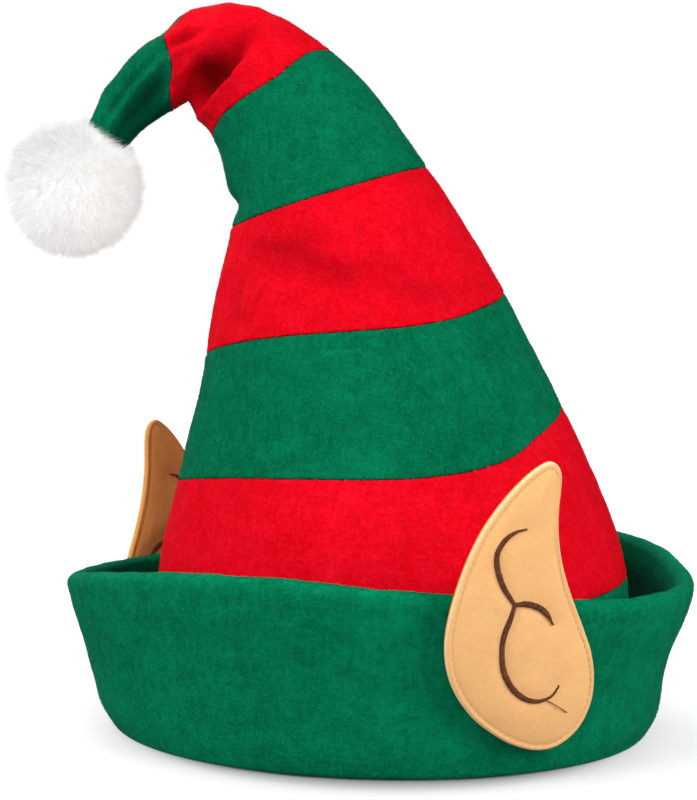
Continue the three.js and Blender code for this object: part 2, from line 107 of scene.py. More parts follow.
# Creases drawn over the cloth: points of (station, azimuth), half width and depth in mm (ridges are negative)
CREASES = [
    ([(14.2, -64), (13.7, -69), (13.2, -69), (12.7, -68)], 2.4, 3.8),
    ([(14.2, -54), (13.6, -57), (13.0, -58)], 2.4, -1.2),
    ([(14.0, -80), (13.3, -80), (12.6, -78)], 3.0, -1.8),
    ([(14.1, -83), (14.9, -80), (15.8, -84), (16.8, -84)], 2.6, -2.2),
    ([(13.9, -120), (14.7, -114), (15.5, -116), (16.6, -122)], 6.5, 4.4),
    ([(14.1, -60), (14.9, -62), (15.8, -66), (16.8, -68)], 2.4, 2.0),
    ([(12.9, 175), (12.5, 170), (12.3, 150)], 2.6, 1.6),
    ([(8.4, -172), (8.1, -158), (7.9, -140)], 3.6, 0.8),
    ([(7.45, -142), (7.24, -125), (7.0, -108), (6.72, -90), (6.6, -80)], 6.5, 4.2),
    ([(6.75, -76), (6.52, -68), (6.3, -54), (6.2, -42)], 6.5, 3.0),
    ([(6.9, -150), (6.5, -146), (6.25, -140)], 5.5, 2.6),
    ([(7.6, -112), (7.5, -92), (7.35, -72)], 7.0, -1.2),
    ([(14.0, 120), (13.2, 112), (12.4, 96)], 2.6, 1.4),
    ([(14.2, 60), (15.0, 72), (16.2, 80)], 2.4, 1.2),
]
# The fold across the bend: azimuth, station of its sharp edge, and the hollow's depth and length in mm
FOLD = [(-180, 11.15, 0.3, 16), (-170, 10.98, 1.5, 20), (-155, 10.80, 7.0, 25), (-140, 10.70, 12.5, 27),
        (-122, 10.66, 14.0, 27), (-107, 10.60, 13.6, 24), (-95, 10.63, 12.4, 20), (-81, 10.68, 10.5, 17),
        (-69, 10.80, 8.6, 14), (-56, 10.96, 6.0, 11), (-43, 11.10, 3.2, 9), (-30, 11.2, 1.0, 8),
        (-18, 11.25, 0, 7), (180, 11.15, 0, 16)]
FOLD_WALL = 3.6
FOLD_REACH = 2.2
FOLD_LIP = 0.9

# Broad corrections of the outer face: station, azimuth, length, breadth, and millimetres inwards
FITS = [(12.3, -8, 0.9, 45, 1.3), (10.0, 0, 1.0, 42, -1.1), (15.6, -12, 1.1, 50, -2.2)]

# How far each seam wanders along the cone: its station, then azimuth and millimetres
SEAM_SWAY = {
    4: [(-180, 0), (-150, -0.4), (-115, -1.15), (-96, -1.8), (-79, -2.2), (-66, -1.9), (-52, -0.7),
        (-44, 0.8), (-35, 3.0), (-22, 4.2), (0, 3.6), (50, 1.5), (120, 0), (180, 0)],
    6: [(-180, -0.6), (-130, -0.5), (-75, -0.6), (-50, 0.2), (-32, 1.6), (0, 2.0), (60, 0.6), (180, -0.6)],
    10: [(-180, 0), (-130, 0.8), (-112, 0), (-96, -1.0), (-76, -1.5), (-55, 0), (-35, 0.8), (0, 0),
         (180, 0)],
    14: [(-180, -1.2), (-169, -1.4), (-145, -1.1), (-124, -0.5), (-112, -1.4), (-98, -1.4), (-82, 0),
         (-63, 2.2), (-48, 3.4), (-38, 4.5), (-32, 3.8), (-28, 0.2), (-24, -1.4), (0, -2.4), (40, -3.4),
         (90, -1.5), (135, 0), (180, -1.2)],
}

# Stripes: name, CAD node, first and last station, colour
STRIPES = [
    ("head_band_plush", "head_band", 0, 2, "green"),
    ("band_1_plush", "band_1_red", 2, 4, "red"),
    ("band_2_plush", "band_2_green", 4, 6, "green"),
    ("band_3_plush", "band_3_red", 6, 8, "red"),
    ("band_4_plush", "band_4_green", 8, 10, "green"),
    ("band_5_plush", "band_5_red", 10, 14, "red"),
]
TIP = ("tip_plush", "tip_green", 14, 17, "green")

# The cuff's course every 30 degrees from azimuth 0: rise and reach
CUFF_COURSE = np.array([
    (0.845, 0.95), (0.935, 0.95), (0.950, 0.93), (0.870, 0.92), (0.790, 0.95), (0.752, 1.00),
    (0.792, 1.02), (0.905, 1.00), (0.996, 0.95), (0.967, 0.90), (0.896, 0.93), (0.846, 0.94),
])
# The cuff's outer wall from its foot upwards: height and flare
CUFF_WALL = [(0.14, 0.13), (0.32, 0.29), (0.50, 0.48), (0.68, 0.72), (0.84, 0.94)]

# An ear's outline, clockwise from its tip: side and up
EAR_OUTLINE = np.array([
    (0.040, 1.004), (0.096, 0.992), (0.125, 0.957), (0.128, 0.903), (0.128, 0.834), (0.146, 0.748),
    (0.184, 0.665), (0.245, 0.577), (0.309, 0.504), (0.385, 0.420), (0.456, 0.335), (0.497, 0.241),
    (0.494, 0.150), (0.430, 0.067), (0.307, 0.013), (0.165, 0.003), (0.004, 0.030), (-0.135, 0.076),
    (-0.265, 0.135), (-0.382, 0.220), (-0.449, 0.308), (-0.475, 0.396), (-0.470, 0.482), (-0.447, 0.565),
    (-0.409, 0.656), (-0.352, 0.748), (-0.286, 0.821), (-0.203, 0.889), (-0.118, 0.944), (-0.034, 0.984),
])
EAR_CENTRE = np.array([-0.03 * EAR_WIDTH, 0.40 * EAR_HEIGHT])
# Ears: name, azimuth, lean, foot, curl
EARS = [("near_ear", -67, 12, 0.105, 0.02), ("far_ear", 136, 10, 0.018, 0.06)]
EAR_LINES = [
    [(-0.103, 0.532), (-0.148, 0.565), (-0.182, 0.593), (-0.218, 0.637), (-0.238, 0.680), (-0.236, 0.712),
     (-0.210, 0.743), (-0.173, 0.766), (-0.127, 0.781), (-0.080, 0.787)],
    [(-0.103, 0.532), (-0.044, 0.534), (0.018, 0.526), (0.075, 0.510), (0.119, 0.487), (0.156, 0.457)],
    [(-0.103, 0.532), (-0.116, 0.486), (-0.139, 0.440), (-0.149, 0.398), (-0.142, 0.351), (-0.121, 0.304),
     (-0.082, 0.261), (-0.028, 0.225), (0.038, 0.199), (0.110, 0.188), (0.172, 0.194), (0.215, 0.209),
     (0.243, 0.236)],
]


# Curves and noise


def rows_at(table, places, closed=False):
    """A table's columns at places between its rows, on a smooth curve."""
    places = np.asarray(places, float)
    count = len(table)
    start = np.floor(places).astype(int)
    if not closed:
        start = np.clip(start, 0, count - 2)
    t = (places - start)[..., None]

    def pick(i):
        return table[i % count] if closed else table[np.clip(i, 0, count - 1)]

    a, b, c, d = pick(start - 1), pick(start), pick(start + 1), pick(start + 2)
    return 0.5 * (2 * b + (c - a) * t + (2 * a - 5 * b + 4 * c - d) * t**2 + (3 * b - a - 3 * c + d) * t**3)


def noise(points, longest, shortest, seed, count=22):
    """Soft noise of about -1 to 1 at points, with waves from longest to shortest."""
    rng = np.random.default_rng(seed)
    total = np.zeros(points.shape[:-1])
    for _ in range(count):
        way = rng.normal(size=3)
        way *= 2 * math.pi / (rng.uniform(shortest, longest) * np.linalg.norm(way))
        total += np.sin(points @ way + rng.uniform(0, 2 * math.pi))
    return total / math.sqrt(count / 2) / 1.6


def smooth(t):
    t = np.clip(t, 0, 1)
    return t * t * (3 - 2 * t)


def bell(x):
    """A bump of height 1 at 0, nearly gone at 2."""
    return np.exp(-(x**2))


def wrapped(degrees):
    """Angles brought between -180 and 180."""
    return (degrees + 180) % 360 - 180


def unit(vectors):
    return vectors / np.maximum(np.linalg.norm(vectors, axis=-1, keepdims=True), 1e-9)


def lengths(points):
    """Distance along a line of points from its start to each of them."""
    return np.concatenate([[0], np.cumsum(np.linalg.norm(np.diff(points, axis=0), axis=1))])


# Meshes


def piece(name, points, faces, material, nodes=(), tone=None, painted_shade=None):
    """A mesh object that rides on the hat. faces is a list of arrays with 3 or 4 corners a row."""
    data = bpy.data.meshes.new(name)
    corners = np.concatenate([f.ravel() for f in faces]).astype(np.int32)
    sizes = np.concatenate([np.full(len(f), f.shape[1]) for f in faces]).astype(np.int32)
    starts = np.concatenate([[0], np.cumsum(sizes)[:-1]]).astype(np.int32)
    data.vertices.add(len(points))
    data.vertices.foreach_set("co", ((points + SHIFT) / 1000).astype(np.float32).ravel())
    data.loops.add(len(corners))
    data.loops.foreach_set("vertex_index", corners)
    data.polygons.add(len(sizes))
    data.polygons.foreach_set("loop_start", starts)
    data.polygons.foreach_set("use_smooth", np.ones(len(sizes), bool))
    data.update(calc_edges=True)
    data.validate()
    for mark, values in (("tone", tone), ("painted_shade", painted_shade)):
        if values is not None:
            data.attributes.new(mark, "FLOAT", "POINT").data.foreach_set("value", values.astype(np.float32))
    data.materials.append(material)
    made = bpy.data.objects.new(name, data)
    bpy.context.scene.collection.objects.link(made)
    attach(made, "root")
    if nodes:
        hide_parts(*nodes)
    return made


def ring_faces(rows, around, closed_rows, first=0):
    """Quads over rows of rings."""
    last = rows if closed_rows else rows - 1
    i = np.arange(last)[:, None]
    j = np.arange(around)[None, :]
    low, high = i * around, ((i + 1) % rows) * around
    side = (j + 1) % around
    quads = np.stack([low + j, low + side, high + side, high + j], -1)
    return quads.reshape(-1, 4) + first


def fans(rows, around):
    """Triangles that close the first and last of some rings, to two middle points that come after them."""
    j = np.arange(around)
    k = (j + 1) % around
    middle, last = rows * around, (rows - 1) * around
    low = np.stack([np.full(around, middle), k, j], -1)
    high = np.stack([np.full(around, middle + 1), last + j, last + k], -1)
    return np.concatenate([low, high])


def outward(points, faces):
    """The faces, turned outwards on a closed mesh."""
    volume = 0.0
    for f in faces:
        a = points[f[:, 0]]
        for k in range(1, f.shape[1] - 1):
            volume += (a * np.cross(points[f[:, k]], points[f[:, k + 1]])).sum()
    return faces if volume > 0 else [f[:, ::-1] for f in faces]


# The cone


def section_at(station):
    """Centre, directions and half sizes of the sections at an array of stations."""
    height, across, back, half, depth, turn, lean, wave = np.moveaxis(rows_at(SECTIONS, station), -1, 0)
    turn, lean = np.radians(turn), np.radians(lean)
    zero = np.zeros_like(turn)
    centre = np.stack([-across * PEAK_REACH, back * PEAK_LEAN, height * BEND_HEIGHT], -1)
    side = np.stack([np.cos(turn), zero, np.sin(turn)], -1)
    upright = np.stack([-np.sin(turn), zero, np.cos(turn)], -1)
    behind = np.array([0.0, 1.0, 0.0])
    over = behind * np.cos(lean)[..., None] - upright * np.sin(lean)[..., None]
    along = upright * np.cos(lean)[..., None] + behind * np.sin(lean)[..., None]
    half = half * RIM_RADIUS
    return centre, side, over, along, half, half * depth, wave * RIM_RADIUS


def spot(station, azimuth, place, angle, length, breadth):
    """A soft spot of height 1 round a station and an azimuth."""
    return np.exp(-(((station - place) / length) ** 2) - (wrapped(azimuth - angle) / breadth) ** 2)


def dent_at(station, azimuth):
    """How far the dents and the pleats of the tip go in, as a share of the half width."""
    share = np.zeros(station.shape)
    for *where, depth in DENTS:
        share += depth * spot(station, azimuth, *where)
    count, depth, start = PLEATS
    gathered = np.clip((station - start) / (LAST_STATION - start), 0, None)
    return share + depth * gathered * (1 + np.cos(np.radians(azimuth * count))) / 2


def cone_points(station, inset=0.0):
    """Points on the cone at stations (rows by azimuths), pushed in by inset."""
    centre, side, over, along, half, deep, wave = section_at(station)
    angle = np.radians(AZIMUTHS)[None, :]
    dent = 1 - dent_at(station, AZIMUTHS[None, :])
    u = np.cos(angle) * (half * dent - inset)
    v = np.sin(angle) * (deep * dent - inset)
    w = wave * np.sin(2 * angle)
    return centre + side * u[..., None] + over * v[..., None] + along * w[..., None]


FINE = np.arange(0, LAST_STATION + 1e-6, 0.02)
RUN = lengths(section_at(FINE)[0])
HALF = rows_at(SECTIONS, FINE)[:, 3] * RIM_RADIUS


def run_at(station):
    """Millimetres along the cone's middle line from the rim to a station."""
    return np.interp(station, FINE, RUN)


AROUND = 264
ROW_STEP = 1.3
AZIMUTHS = wrapped(np.arange(AROUND) * 360 / AROUND)
SEAM_DEPTH = 0.9
SEAM_RADIUS = 1.5
BACK_SEAM = 98.0


def creases_at(station):
    """Millimetres that the drawn creases push the cloth in."""
    run = run_at(station)
    radius = np.interp(station, FINE, HALF)
    total = np.zeros(run.shape)
    for line, width, depth in CREASES:
        best = np.full(run.shape, 1e9)
        fade = np.zeros(run.shape)
        line = [(float(run_at(s)), a) for s, a in line]
        steps = len(line) - 1
        for k in range(steps):
            (r0, a0), (r1, a1) = line[k], line[k + 1]
            x = np.radians(wrapped(AZIMUTHS[None, :] - a0)) * radius
            y = run - r0
            ex = np.radians(wrapped(a1 - a0)) * radius
            ey = r1 - r0
            t = np.clip((x * ex + y * ey) / (ex * ex + ey * ey), 0, 1)
            far = np.hypot(x - t * ex, y - t * ey)
            place = (k + t) / steps
            closer = far < best
            best = np.where(closer, far, best)
            fade = np.where(closer, np.sin(math.pi * np.clip(place * 0.86 + 0.07, 0, 1)) ** 0.7, fade)
        total += depth * fade * bell(best / width)
    return total


def crease_depth(station):
    """Millimetres that the creases and the fold push the cloth in."""
    past, depth, drop = fold_at(run_at(station))
    lip = FOLD_LIP * bell(np.minimum(past + 0.6, 0) / 4.0)
    lip *= (past < FOLD_WALL) * (1 - smooth(past / FOLD_WALL))
    return creases_at(station) + depth * drop - lip * smooth(depth / 3)


def fold_at(run):
    """Millimetres past the fold's sharp edge, the hollow's depth, and the share of it reached."""
    table = np.array(FOLD, float)
    place, depth, long = (np.interp(AZIMUTHS, table[:, 0], table[:, k])[None, :] for k in (1, 2, 3))
    past = run - run_at(place)
    drop = smooth(past / FOLD_WALL) * (1 - smooth((past - FOLD_WALL) / long))
    return past, depth, drop


def painted_shade_at(station):
    """Painted shade, from 0 to 1: darker inside the fold, under the tip and in the creases."""
    _, depth, drop = fold_at(run_at(station))
    under = smooth((-AZIMUTHS - 98) / 16) * smooth((AZIMUTHS + 180) / 26) * (AZIMUTHS < 0)
    fold = smooth(depth * drop / 11) * (0.45 + 0.47 * smooth((-AZIMUTHS - 74) / 52))
    under = 0.6 * under[None, :] * smooth((station - 13.9) / 0.7)
    return np.maximum(np.maximum(fold, under), 0.34 * smooth(creases_at(station) / 4.5))


def leaned(station):
    """Stations with the fold's edge pulled over its hollow."""
    run = run_at(station)
    past, depth, _ = fold_at(run)
    over = FOLD_REACH * smooth(depth / 6) * bell(past / 3.2)
    return np.interp(run + over, RUN, FINE)


def swayed(station):
    """Stations moved round the cone where the seams wander."""
    kernel = np.exp(-(np.arange(-2, 3) ** 2.0))
    run = run_at(station)[:, None] + np.zeros(len(AZIMUTHS))
    for seam, rows in SEAM_SWAY.items():
        table = np.array(rows, float)
        wander = np.interp(AZIMUTHS, table[:, 0], table[:, 1])
        wrapped = np.concatenate([wander[-2:], wander, wander[:2]])
        wander = np.convolve(wrapped, kernel / kernel.sum(), "valid")
        run = run + wander[None, :] * bell((station[:, None] - seam) / 1.1)
    return np.interp(run, RUN, FINE)


def cloth_relief(station, from_seam):
    """Millimetres that the outer face goes in: seams, puckers, creases and soft unevenness."""
    base = cone_points(station)
    near = np.clip(from_seam / SEAM_RADIUS, 0, 1)[:, None]
    roll = SEAM_DEPTH * (1 - np.sqrt(1 - (1 - near) ** 2))
    hem = np.exp(-from_seam / 5.0)[:, None]
    pucker = 0.30 * hem * noise(base, 9, 5, 11)
    soft = 0.55 * noise(base, 70, 30, 12) + 0.12 * noise(base, 14, 7, 13)
    crumple = 0.30 * smooth((station - 9) / 3) * noise(base, 18, 9, 14)
    radius = np.interp(station, FINE, HALF)
    fit = np.zeros(station.shape)
    for *where, inwards in FITS:
        fit += inwards * spot(station, AZIMUTHS[None, :], *where)
    seam_off = np.radians(wrapped(AZIMUTHS[None, :] - BACK_SEAM)) * radius
    back = 1.1 * bell(seam_off / 1.1) + 0.25 * bell(seam_off / 6) * noise(base, 10, 6, 15)
    return roll + pucker + crease_depth(station) + fit + back + (soft + crumple) * (1 - 0.5 * hem)


# What is left open between the head band and the cuff where the cloth folds at the rim
RIM_GAP = 0.06
SEAM_GAP = 0.16


def stripe_runs(length, at_rim):
    """Distances of the rows of a stripe from its lower seam, closer together at the seams."""
    edge = np.array([SEAM_GAP, 0.3, 0.5, 0.8, 1.2, 1.7, 2.3, 3.2, 4.6])
    middle = np.linspace(6.2, length - 6.2, max(4, int((length - 12.4) / ROW_STEP)))
    low = np.array([0.0, 0.25, 0.8, 1.8, 3.2, 4.8]) if at_rim else edge
    return np.concatenate([low, middle, length - edge[::-1]])


def stripe_shape(first, last):
    """The outer and inner rings of points of a stripe, and the painted shade of the outer ones."""
    start, end = float(run_at(first)), float(run_at(last))
    runs = stripe_runs(end - start, first == 0)
    station = swayed(np.interp(start + runs, RUN, FINE))
    low = np.full_like(runs, 99.0) if first == 0 else runs
    high = np.full_like(runs, 99.0) if last == LAST_STATION else end - start - runs
    from_seam = np.minimum(low, high)
    relief = cloth_relief(station, from_seam)
    if first == 0:
        relief += (0.4 * np.clip(1 - runs / 0.8, 0, 1) ** 2)[:, None]
    outside = cone_points(leaned(station), relief)
    if first == 0:
        girth = np.hypot(outside[..., 0], outside[..., 1])
        meet = bell((runs - 1.6) / 2.4)[:, None] * (RIM_RADIUS + CLEARANCE - RIM_GAP - girth)
        outside[..., :2] *= (1 + meet / girth)[..., None]
    low = 0.0 if first == 0 else SEAM_GAP
    inner_runs = np.concatenate([[low], np.linspace(3, end - start - 3, 12), [end - start - SEAM_GAP]])
    inner_station = swayed(np.interp(start + inner_runs, RUN, FINE))
    keep = np.maximum(0, crease_depth(inner_station))
    inside = cone_points(leaned(inner_station), PLUSH + keep)
    return outside, inside, painted_shade_at(station)


# Outer faces that the short pile grows from, as grids of points, each with its painted shade
NAPPED = {"green_cone": [], "red_cone": [], "green_cuff": []}


def stripe(name, node, first, last, colour, material):
    outside, inside, painted_shade = stripe_shape(first, last)
    if first:
        NAPPED[colour + "_cone"].append((outside, painted_shade))
    rings = np.concatenate([outside, inside[::-1]])
    points = rings.reshape(-1, 3)
    faces = outward(points, [ring_faces(len(rings), AROUND, True)])
    painted_shade = np.concatenate([painted_shade.ravel(), np.zeros(inside.size // 3)])
    return piece(name, points, faces, material, (node,), painted_shade=painted_shade)


def tip(material):
    name, node, first, last, colour = TIP
    outside, inside, painted_shade = stripe_shape(first, last)
    NAPPED[colour + "_cone"].append((outside, painted_shade))
    inside = inside[:-2]
    centre, _, _, along, *_ = section_at(np.array([float(last)]))
    rings = np.concatenate([inside[::-1], outside])
    points = np.concatenate([rings.reshape(-1, 3), [centre[0] - 2 * PLUSH * along[0]], [centre[0]]])
    faces = outward(points, [ring_faces(len(rings), AROUND, False), fans(len(rings), AROUND)])
    painted_shade = np.concatenate([np.zeros(inside.size // 3), painted_shade.ravel(), [0, 0]])
    return piece(name, points, faces, material, (node,), painted_shade=painted_shade)


# Turned seam allowances inside the cone: seam's station, colour, and millimetres below and above the seam
ALLOWANCES = [(2, "red", 2.0, 7.0), (4, "green", 2.0, 7.0), (6, "red", 2.0, 6.5), (8, "green", 2.0, 6.0),
              (10, "red", 1.8, 5.0), (14, "green", 1.5, 4.0)]
ALLOWANCE_THICKNESS = 0.9


def allowances(colour, material):
    """The sewn cloth edges that lie against the inside of the cone over each seam."""
    points, faces = [], []
    total = 0
    for seam, shade, below, above in ALLOWANCES:
        if shade != colour:
            continue
        runs = run_at(seam) + np.linspace(-below, above, 7)
        station = swayed(np.interp(runs, RUN, FINE))
        deep = np.maximum(0, crease_depth(station)) + PLUSH + CLEARANCE
        curl = 0.5 * (1 + noise(cone_points(station), 16, 8, 21)) * np.linspace(0, 1, 7)[:, None] ** 2
        outer = cone_points(station, deep + 0.5 * curl)
        inner = cone_points(station, deep + 0.5 * curl + ALLOWANCE_THICKNESS)
        rings = np.concatenate([outer, inner[::-1]])
        points.append(rings.reshape(-1, 3))
        faces += outward(points[-1], [ring_faces(len(rings), AROUND, True)])
        faces[-1] = faces[-1] + total
        total += len(points[-1])
    return piece(f"seam_allowances_{colour}", np.concatenate(points), faces, material)


# The cuff


def cuff_course(azimuth):
    """The height and the flare of the cuff at azimuths."""
    return (rows_at(CUFF_COURSE, azimuth / 30, True) * [CUFF_HEIGHT, CUFF_FLARE]).T


def cuff_profile(azimuth):
    """Radius and height of the cuff's section at azimuths, in the order of the part's source."""
    rise, reach = cuff_course(azimuth)
    roll = CUFF_THICKNESS / 2
    inner = RIM_RADIUS + CLEARANCE
    outer = inner + CUFF_THICKNESS
    zero = np.zeros_like(rise)
    points = [(inner + zero, zero), (outer - roll + zero, zero)]
    for angle in (-50, -15):
        turn = math.radians(angle)
        points.append((outer - roll + roll * math.cos(turn) + zero, roll + roll * math.sin(turn) + zero))
    for height, flare in CUFF_WALL:
        points.append((outer + flare * reach, height * rise))
    for angle in (0, 45, 90, 135, 180):
        turn = math.radians(angle)
        points.append((outer + reach - roll + roll * math.cos(turn), rise - roll + roll * math.sin(turn)))
    for height, flare in reversed(CUFF_WALL[:-1]):
        points.append((inner + flare * reach, height * rise))
    return np.array([np.stack(p, -1) for p in points])


CUFF_AROUND = 384
CUFF_STEPS = 76
HEM_LEVEL = 0.86


def cuff(material):
    azimuth = np.arange(CUFF_AROUND) * 360 / CUFF_AROUND
    table = cuff_profile(azimuth)
    places = np.arange(CUFF_STEPS) * len(table) / CUFF_STEPS
    section = rows_at(table.reshape(len(table), -1), places, True).reshape(CUFF_STEPS, CUFF_AROUND, 2)
    radius, height = section[..., 0], np.maximum(section[..., 1], 0)
    turn = np.radians(azimuth)[None, :]
    points = np.stack([radius * np.cos(turn), radius * np.sin(turn), height], -1)
    round_it, over_it = (np.roll(points, -1, k) - np.roll(points, 1, k) for k in (1, 0))
    normal = unit(np.cross(round_it, over_it))
    out = np.stack(np.broadcast_arrays(np.cos(turn), np.sin(turn), np.zeros_like(radius)), -1)
    if (normal[CUFF_STEPS // 4] * out[0]).sum() < 0:
        normal = -normal
    facing = (normal * out).sum(-1)
    rise = cuff_course(azimuth)[0]
    level = height / rise
    lift = smooth((height - 3) / 14)
    soft = 0.55 * noise(points, 110, 45, 31) + 0.16 * noise(points, 26, 12, 32)
    soft += 0.06 * noise(points, 9, 5, 33)
    seam_off = np.radians(wrapped(azimuth - BACK_SEAM))[None, :] * radius
    groove = bell(seam_off / 1.2) + 0.3 * bell(seam_off / 7) * noise(points, 9, 6, 34)
    hem = 0.35 * bell((height - HEM_LEVEL * rise) / 3.0) * facing.clip(0, 1)
    points = points + normal * (lift * (soft - groove - hem))[..., None]
    apart = wrapped(azimuth)
    waist = -3.0 * bell(apart / 38) + 0.6 * bell((np.abs(apart) - 180) / 34)
    shift = waist * bell((level - 0.5) / 0.28) * smooth((height - 2) / 10)
    shift = shift - (0.8 + 2.0 * np.cos(turn) ** 4) * bell(height / 8)
    inside = np.hypot(points[..., 0], points[..., 1]) + shift
    points = points + out * shift[..., None]
    points[..., :2] *= np.maximum(1, (RIM_RADIUS + CLEARANCE) / inside)[..., None]
    shown = (height > 1.5) & (facing > -0.3) | (height > 0.5 * CUFF_HEIGHT)
    # Painted shade inside the cuff: its inward faces are painted darker below the rolled top.
    painted_shade = 0.95 * np.clip(-facing, 0, 1) * smooth((1 - level) / 0.2)
    first = np.flatnonzero(shown.any(1))[0]
    count = shown.any(1).sum()
    NAPPED["green_cuff"].append((np.roll(points, -first, 0)[:count], np.roll(painted_shade, -first, 0)[:count]))
    flat = points.reshape(-1, 3)
    faces = outward(flat, [ring_faces(CUFF_STEPS, CUFF_AROUND, True)])
    return piece("cuff_plush", flat, faces, material, ("cuff",), painted_shade=painted_shade.ravel())


# Least and most length and width of a pile fibre, and of how far its end stands off the cloth
PILE_LENGTH = (0.9, 2.3)
PILE_WIDTH = (0.16, 0.34)
PILE_RISE = (0.06, 0.38)


def turned_in(grid):
    """Whether the faces of a grid of rings point to the inside."""
    middle = len(grid) // 2
    ring = grid[middle]
    normal = np.cross(np.roll(ring, -1, 0) - ring, grid[min(middle + 1, len(grid) - 1)] - ring)
    return (normal * (ring - ring.mean(0))).sum() < 0


def pile(name, grids, count, material, seed):
    """Short fibres lying over the cloth, each one triangle."""
    rng = np.random.default_rng(seed)
    starts, ahead, across, painted_shades = [], [], [], []
    for grid, painted_shade in grids:
        if turned_in(grid):
            grid = grid[:, ::-1]
            painted_shade = painted_shade[:, ::-1]
        painted_shades.append(painted_shade[:-1].ravel())
        nxt = np.roll(grid, -1, 1)
        a, b, c = grid[:-1].reshape(-1, 3), nxt[:-1].reshape(-1, 3), grid[1:].reshape(-1, 3)
        starts.append(a)
        ahead.append(b - a)
        across.append(c - a)
    starts, ahead, across, painted_shades = (np.concatenate(v) for v in (starts, ahead, across, painted_shades))
    normal = np.cross(ahead, across)
    area = np.linalg.norm(normal, axis=1)
    pick = rng.choice(len(area), count, p=area / area.sum())
    u, v = rng.uniform(0, 1, (2, count, 1))
    root = starts[pick] + u * ahead[pick] + v * across[pick]
    normal = unit(normal[pick])
    x = unit(ahead[pick])
    y = np.cross(normal, x)
    turn = rng.uniform(0, 2 * math.pi, (count, 1))
    way = np.cos(turn) * x + np.sin(turn) * y
    long = rng.uniform(*PILE_LENGTH, (count, 1))
    wide = rng.uniform(*PILE_WIDTH, (count, 1))
    end = root + way * long + normal * rng.uniform(*PILE_RISE, (count, 1))
    side = np.cross(normal, way) * wide / 2
    root = root + normal * 0.03
    points = np.stack([root - side, root + side, end], 1).reshape(-1, 3)
    points[:, 2] = np.maximum(points[:, 2], 0.05)
    faces = np.arange(3 * count).reshape(-1, 3)
    tone = np.repeat(rng.uniform(0, 1, count), 3)
    return piece(name, points, [faces], material, (), tone, np.repeat(painted_shades[pick], 3))


# The ears

EAR_AROUND = 220
OUTLINE = rows_at(EAR_OUTLINE, np.arange(EAR_AROUND) * len(EAR_OUTLINE) / EAR_AROUND, True)
OUTLINE = OUTLINE * [EAR_WIDTH, EAR_HEIGHT]
STITCH_INSET = 2.3


def ear_frame(azimuth, lean, foot):
    """Origin and directions (side, up, outwards) of an ear's own frame."""
    slope = math.radians(lean)
    base = foot * EAR_HEIGHT
    radius, height = cuff_profile(np.array([float(azimuth)]))[:, 0].T
    reach = (radius * math.cos(slope) - height * math.sin(slope)).max()
    stand_off = reach + EAR_THICKNESS / 2 + STITCH_HEIGHT + 2 * CLEARANCE
    turn = math.radians(azimuth)
    radial = np.array([math.cos(turn), math.sin(turn), 0.0])
    across = np.array([-math.sin(turn), math.cos(turn), 0.0])
    upright = np.array([0.0, 0.0, 1.0])
    origin = radial * (stand_off + base * math.sin(slope)) / math.cos(slope) + upright * base
    up = radial * math.sin(slope) + upright * math.cos(slope)
    out = radial * math.cos(slope) - upright * math.sin(slope)
    return origin, across, up, out


def ear_place(ear, places, outwards):
    """Points of an ear's sheet, which wraps round the cuff a little and curls in at its tip."""
    *stance, curl = ear[1:]
    origin, x, y, z = ear_frame(*stance)
    side, up = places[..., 0], places[..., 1]
    curled = np.clip(up / EAR_HEIGHT - CURL_START, 0, None) / (1 - CURL_START)
    bent = curl * EAR_HEIGHT * curled**2 + side**2 / (2 * EAR_WRAP_RADIUS)
    return origin + side[..., None] * x + up[..., None] * y + (outwards - bent)[..., None] * z


def spaced(line, t):
    """Places on a flat line of points at distances t from its start."""
    run = lengths(line)
    return np.stack([np.interp(t, run, line[:, k]) for k in range(2)], -1)


def line_points(rows, spacing):
    """Points and directions along one embroidered line, evenly spaced."""
    table = np.array(rows) * [EAR_WIDTH, EAR_HEIGHT]
    fine = rows_at(table, np.linspace(0, len(table) - 1, 400))
    whole = lengths(fine)[-1]
    t = np.linspace(0, whole, int(whole / spacing) + 1)
    place = spaced(fine, t)
    return place, unit(np.gradient(place, axis=0)), t / whole


LINE_MARKS = np.concatenate([line_points(rows, 1.0)[0] for rows in EAR_LINES])


def outline_distance(places):
    """Millimetres from places on an ear to its outline."""
    flat = places.reshape(-1, 2)
    a, b = OUTLINE, np.roll(OUTLINE, -1, 0)
    edge = b - a
    t = ((flat[:, None] - a) * edge).sum(-1) / (edge * edge).sum(-1)
    near = a + np.clip(t, 0, 1)[..., None] * edge
    return np.linalg.norm(flat[:, None] - near, axis=-1).min(1).reshape(places.shape[:-1])


# Depth and breadth in mm of the dip that the embroidery draws into the padding, on the outer and inner face
QUILT = {1: (0.5, 3.2), -1: (1.25, 4.6)}


def half_thickness(places, face=1):
    """Half the ear's thickness: a rounded lip, the sewn groove and the padded middle."""
    dip, breadth = QUILT[face]
    inset = outline_distance(places)
    lip = EAR_EDGE / 2 * np.sqrt(np.clip(1 - (1 - np.clip(inset / 1.0, 0, 1)) ** 2, 0, 1))
    middle = (EAR_THICKNESS - EAR_EDGE) / 2 * (1 - np.exp(-np.clip(inset - STITCH_INSET, 0, None) / 6.5))
    groove = 0.2 * bell((inset - STITCH_INSET) / 0.5)
    far = np.linalg.norm(places[..., None, :] - LINE_MARKS, axis=-1).min(-1)
    quilt = dip * bell(far / breadth)
    return np.maximum(lip + middle - groove * smooth(inset / 1.2) - quilt * smooth((inset - 3) / 3), 0.02)


# The satin stitches' width, drawn by the thread's pull to a little less than the line they cover
SATIN_WIDTH = 1.95
SATIN_PITCH = 0.36
SATIN_RADIUS = 0.21
SATIN_SLANT = 0.30
TOP_STITCH_PITCH = 2.7
TOP_STITCH_LENGTH = 2.0

EAR_INSETS = np.array([0.0, 0.12, 0.35, 0.7, 1.1, 1.5, 1.9, 2.3, 2.7, 3.2, 3.9, 4.8, 5.9])


